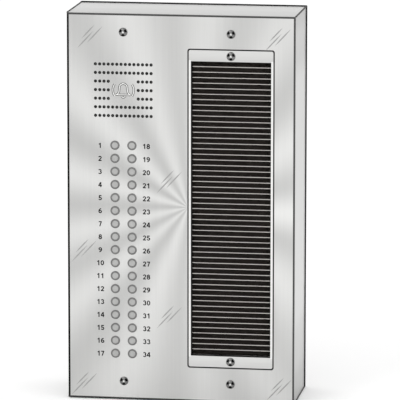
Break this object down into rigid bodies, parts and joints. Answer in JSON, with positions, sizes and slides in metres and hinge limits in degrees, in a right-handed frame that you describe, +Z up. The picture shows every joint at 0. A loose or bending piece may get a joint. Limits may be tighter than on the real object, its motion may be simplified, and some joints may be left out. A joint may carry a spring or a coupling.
{
  "type": "door intercom panel",
  "caption": "Surface-mounted apartment door intercom panel: brushed steel box with speaker grille, columns of round call buttons and a framed directory of names.",
  "frame": {"origin": "centre of the box's back face, on the wall plane and midway between the four wall holes", "axes": "+X to the right seen from the street, +Y into the wall, +Z up; the front faces -Y"},
  "size_m": [0.2724, 0.1036, 0.4624],
  "materials": {
    "stainless_face": "No. 4 brushed stainless sheet, grain running up and down",
    "stainless_box": "brushed stainless sheet, folded and welded",
    "stainless_cover": "No. 4 brushed stainless bezel, polished edges",
    "galvanised_sheet": "galvanised sheet with a fine spangle, its front flange blackened",
    "security_screw": "turned stainless, lightly darkened recess",
    "bezel_metal": "dark satin nickel",
    "button_metal": "satin stainless button cap",
    "nut_metal": "zinc-plated steel",
    "spring_bronze": "phosphor bronze strip",
    "bus_brass": "tinned brass bar",
    "circuit_board": "green solder mask on glass-epoxy board",
    "terminal_plastic": "green moulded nylon",
    "terminal_metal": "zinc-plated slotted screws",
    "foam_gasket": "closed-cell black foam",
    "rubber": "moulded black rubber",
    "clear_window": "clear polycarbonate sheet",
    "strip_black": "matt black engraving stock",
    "carrier_aluminium": "bright clear-anodised aluminium",
    "backing_foam": "soft open-cell foam",
    "acoustic_cloth": "woven dark grey acoustic cloth",
    "speaker_frame": "black stove-enamelled pressed steel",
    "speaker_paper": "treated paper cone",
    "speaker_ferrite": "ferrite ring between zinc-plated plates",
    "lead_insulation": "PVC-insulated stranded wire"
  },
  "bodies": {
    "panel": {"faceplate": "stainless_face", "faceplate_gasket": "foam_gasket", "back_box": "stainless_box", "wall_seal": "rubber", "security_screws": "security_screw", "cable_bushing": "rubber", "directory_cover": "stainless_cover", "window_gasket": "rubber", "directory_window": "clear_window", "name_strips": "strip_black", "strip_carrier": "carrier_aluminium", "directory_pad": "backing_foam", "directory_pan": "galvanised_sheet", "button_bezels": "bezel_metal", "clamp_nuts": "nut_metal", "leaf_springs": "spring_bronze", "bus_bars": "bus_brass", "switch_board": "circuit_board", "terminal_blocks": "terminal_plastic", "terminal_screws": "terminal_metal", "speaker_screen": "acoustic_cloth", "speaker_gasket": "backing_foam", "speaker_basket": "speaker_frame", "speaker_cone": "speaker_paper", "speaker_magnet": "speaker_ferrite", "speaker_lead": "lead_insulation"},
    "button_01": {"button_01": "button_metal"},
    "button_02": {"button_02": "button_metal"},
    "button_03": {"button_03": "button_metal"},
    "button_04": {"button_04": "button_metal"},
    "button_05": {"button_05": "button_metal"},
    "button_06": {"button_06": "button_metal"},
    "button_07": {"button_07": "button_metal"},
    "button_08": {"button_08": "button_metal"},
    "button_09": {"button_09": "button_metal"},
    "button_10": {"button_10": "button_metal"},
    "button_11": {"button_11": "button_metal"},
    "button_12": {"button_12": "button_metal"},
    "button_13": {"button_13": "button_metal"},
    "button_14": {"button_14": "button_metal"},
    "button_15": {"button_15": "button_metal"},
    "button_16": {"button_16": "button_metal"},
    "button_17": {"button_17": "button_metal"},
    "button_18": {"button_18": "button_metal"},
    "button_19": {"button_19": "button_metal"},
    "button_20": {"button_20": "button_metal"},
    "button_21": {"button_21": "button_metal"},
    "button_22": {"button_22": "button_metal"},
    "button_23": {"button_23": "button_metal"},
    "button_24": {"button_24": "button_metal"},
    "button_25": {"button_25": "button_metal"},
    "button_26": {"button_26": "button_metal"},
    "button_27": {"button_27": "button_metal"},
    "button_28": {"button_28": "button_metal"},
    "button_29": {"button_29": "button_metal"},
    "button_30": {"button_30": "button_metal"},
    "button_31": {"button_31": "button_metal"},
    "button_32": {"button_32": "button_metal"},
    "button_33": {"button_33": "button_metal"},
    "button_34": {"button_34": "button_metal"}
  },
  "joints": [
    {"name": "button_01_press", "type": "slide", "parent": "panel", "child": "button_01", "axis": [0, 1, 0], "range_m": [0, 0.0015], "stiffness_N_per_m": 500, "springref_m": -0.002, "deforming": ["leaf_springs"]},
    {"name": "button_02_press", "type": "slide", "parent": "panel", "child": "button_02", "axis": [0, 1, 0], "range_m": [0, 0.0015], "stiffness_N_per_m": 500, "springref_m": -0.002, "deforming": ["leaf_springs"]},
    {"name": "button_03_press", "type": "slide", "parent": "panel", "child": "button_03", "axis": [0, 1, 0], "range_m": [0, 0.0015], "stiffness_N_per_m": 500, "springref_m": -0.002, "deforming": ["leaf_springs"]},
    {"name": "button_04_press", "type": "slide", "parent": "panel", "child": "button_04", "axis": [0, 1, 0], "range_m": [0, 0.0015], "stiffness_N_per_m": 500, "springref_m": -0.002, "deforming": ["leaf_springs"]},
    {"name": "button_05_press", "type": "slide", "parent": "panel", "child": "button_05", "axis": [0, 1, 0], "range_m": [0, 0.0015], "stiffness_N_per_m": 500, "springref_m": -0.002, "deforming": ["leaf_springs"]},
    {"name": "button_06_press", "type": "slide", "parent": "panel", "child": "button_06", "axis": [0, 1, 0], "range_m": [0, 0.0015], "stiffness_N_per_m": 500, "springref_m": -0.002, "deforming": ["leaf_springs"]},
    {"name": "button_07_press", "type": "slide", "parent": "panel", "child": "button_07", "axis": [0, 1, 0], "range_m": [0, 0.0015], "stiffness_N_per_m": 500, "springref_m": -0.002, "deforming": ["leaf_springs"]},
    {"name": "button_08_press", "type": "slide", "parent": "panel", "child": "button_08", "axis": [0, 1, 0], "range_m": [0, 0.0015], "stiffness_N_per_m": 500, "springref_m": -0.002, "deforming": ["leaf_springs"]},
    {"name": "button_09_press", "type": "slide", "parent": "panel", "child": "button_09", "axis": [0, 1, 0], "range_m": [0, 0.0015], "stiffness_N_per_m": 500, "springref_m": -0.002, "deforming": ["leaf_springs"]},
    {"name": "button_10_press", "type": "slide", "parent": "panel", "child": "button_10", "axis": [0, 1, 0], "range_m": [0, 0.0015], "stiffness_N_per_m": 500, "springref_m": -0.002, "deforming": ["leaf_springs"]},
    {"name": "button_11_press", "type": "slide", "parent": "panel", "child": "button_11", "axis": [0, 1, 0], "range_m": [0, 0.0015], "stiffness_N_per_m": 500, "springref_m": -0.002, "deforming": ["leaf_springs"]},
    {"name": "button_12_press", "type": "slide", "parent": "panel", "child": "button_12", "axis": [0, 1, 0], "range_m": [0, 0.0015], "stiffness_N_per_m": 500, "springref_m": -0.002, "deforming": ["leaf_springs"]},
    {"name": "button_13_press", "type": "slide", "parent": "panel", "child": "button_13", "axis": [0, 1, 0], "range_m": [0, 0.0015], "stiffness_N_per_m": 500, "springref_m": -0.002, "deforming": ["leaf_springs"]},
    {"name": "button_14_press", "type": "slide", "parent": "panel", "child": "button_14", "axis": [0, 1, 0], "range_m": [0, 0.0015], "stiffness_N_per_m": 500, "springref_m": -0.002, "deforming": ["leaf_springs"]},
    {"name": "button_15_press", "type": "slide", "parent": "panel", "child": "button_15", "axis": [0, 1, 0], "range_m": [0, 0.0015], "stiffness_N_per_m": 500, "springref_m": -0.002, "deforming": ["leaf_springs"]},
    {"name": "button_16_press", "type": "slide", "parent": "panel", "child": "button_16", "axis": [0, 1, 0], "range_m": [0, 0.0015], "stiffness_N_per_m": 500, "springref_m": -0.002, "deforming": ["leaf_springs"]},
    {"name": "button_17_press", "type": "slide", "parent": "panel", "child": "button_17", "axis": [0, 1, 0], "range_m": [0, 0.0015], "stiffness_N_per_m": 500, "springref_m": -0.002, "deforming": ["leaf_springs"]},
    {"name": "button_18_press", "type": "slide", "parent": "panel", "child": "button_18", "axis": [0, 1, 0], "range_m": [0, 0.0015], "stiffness_N_per_m": 500, "springref_m": -0.002, "deforming": ["leaf_springs"]},
    {"name": "button_19_press", "type": "slide", "parent": "panel", "child": "button_19", "axis": [0, 1, 0], "range_m": [0, 0.0015], "stiffness_N_per_m": 500, "springref_m": -0.002, "deforming": ["leaf_springs"]},
    {"name": "button_20_press", "type": "slide", "parent": "panel", "child": "button_20", "axis": [0, 1, 0], "range_m": [0, 0.0015], "stiffness_N_per_m": 500, "springref_m": -0.002, "deforming": ["leaf_springs"]},
    {"name": "button_21_press", "type": "slide", "parent": "panel", "child": "button_21", "axis": [0, 1, 0], "range_m": [0, 0.0015], "stiffness_N_per_m": 500, "springref_m": -0.002, "deforming": ["leaf_springs"]},
    {"name": "button_22_press", "type": "slide", "parent": "panel", "child": "button_22", "axis": [0, 1, 0], "range_m": [0, 0.0015], "stiffness_N_per_m": 500, "springref_m": -0.002, "deforming": ["leaf_springs"]},
    {"name": "button_23_press", "type": "slide", "parent": "panel", "child": "button_23", "axis": [0, 1, 0], "range_m": [0, 0.0015], "stiffness_N_per_m": 500, "springref_m": -0.002, "deforming": ["leaf_springs"]},
    {"name": "button_24_press", "type": "slide", "parent": "panel", "child": "button_24", "axis": [0, 1, 0], "range_m": [0, 0.0015], "stiffness_N_per_m": 500, "springref_m": -0.002, "deforming": ["leaf_springs"]},
    {"name": "button_25_press", "type": "slide", "parent": "panel", "child": "button_25", "axis": [0, 1, 0], "range_m": [0, 0.0015], "stiffness_N_per_m": 500, "springref_m": -0.002, "deforming": ["leaf_springs"]},
    {"name": "button_26_press", "type": "slide", "parent": "panel", "child": "button_26", "axis": [0, 1, 0], "range_m": [0, 0.0015], "stiffness_N_per_m": 500, "springref_m": -0.002, "deforming": ["leaf_springs"]},
    {"name": "button_27_press", "type": "slide", "parent": "panel", "child": "button_27", "axis": [0, 1, 0], "range_m": [0, 0.0015], "stiffness_N_per_m": 500, "springref_m": -0.002, "deforming": ["leaf_springs"]},
    {"name": "button_28_press", "type": "slide", "parent": "panel", "child": "button_28", "axis": [0, 1, 0], "range_m": [0, 0.0015], "stiffness_N_per_m": 500, "springref_m": -0.002, "deforming": ["leaf_springs"]},
    {"name": "button_29_press", "type": "slide", "parent": "panel", "child": "button_29", "axis": [0, 1, 0], "range_m": [0, 0.0015], "stiffness_N_per_m": 500, "springref_m": -0.002, "deforming": ["leaf_springs"]},
    {"name": "button_30_press", "type": "slide", "parent": "panel", "child": "button_30", "axis": [0, 1, 0], "range_m": [0, 0.0015], "stiffness_N_per_m": 500, "springref_m": -0.002, "deforming": ["leaf_springs"]},
    {"name": "button_31_press", "type": "slide", "parent": "panel", "child": "button_31", "axis": [0, 1, 0], "range_m": [0, 0.0015], "stiffness_N_per_m": 500, "springref_m": -0.002, "deforming": ["leaf_springs"]},
    {"name": "button_32_press", "type": "slide", "parent": "panel", "child": "button_32", "axis": [0, 1, 0], "range_m": [0, 0.0015], "stiffness_N_per_m": 500, "springref_m": -0.002, "deforming": ["leaf_springs"]},
    {"name": "button_33_press", "type": "slide", "parent": "panel", "child": "button_33", "axis": [0, 1, 0], "range_m": [0, 0.0015], "stiffness_N_per_m": 500, "springref_m": -0.002, "deforming": ["leaf_springs"]},
    {"name": "button_34_press", "type": "slide", "parent": "panel", "child": "button_34", "axis": [0, 1, 0], "range_m": [0, 0.0015], "stiffness_N_per_m": 500, "springref_m": -0.002, "deforming": ["leaf_springs"]}
  ]
}
